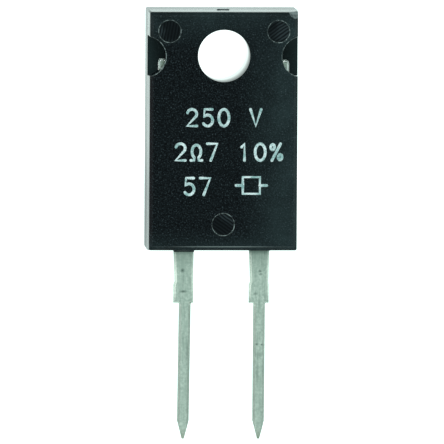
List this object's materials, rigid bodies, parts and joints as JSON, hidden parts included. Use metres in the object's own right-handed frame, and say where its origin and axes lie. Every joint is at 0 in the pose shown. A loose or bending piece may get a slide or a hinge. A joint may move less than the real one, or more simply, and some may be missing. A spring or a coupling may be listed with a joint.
{
  "type": "thick film resistor",
  "caption": "Flat moulded power resistor with a bare ceramic back, a screw hole and straight pointed leads for through-hole mounting.",
  "frame": {"origin": "where the axis of the screw hole meets the back plane, on which the ceramic lies", "axes": "+Z out of the moulded front along the screw hole, +Y from the leads towards the screw hole, +X to the right seen from the front"},
  "size_m": [0.01, 0.029, 0.0044],
  "materials": {
    "black_epoxy": "matte",
    "alumina": "matte",
    "tinned_copper": "satin",
    "solder": "satin",
    "silver_conductor": "matte",
    "resistive_film": "matte",
    "overglaze": "gloss"
  },
  "bodies": {
    "root": {"ceramic_substrate": "alumina", "left_conductor": "silver_conductor", "right_conductor": "silver_conductor", "resistive_film": "resistive_film", "glass_overglaze": "overglaze", "left_lead": "tinned_copper", "right_lead": "tinned_copper", "left_foot_solder": "solder", "right_foot_solder": "solder", "moulded_case": "black_epoxy"}
  },
  "joints": []
}
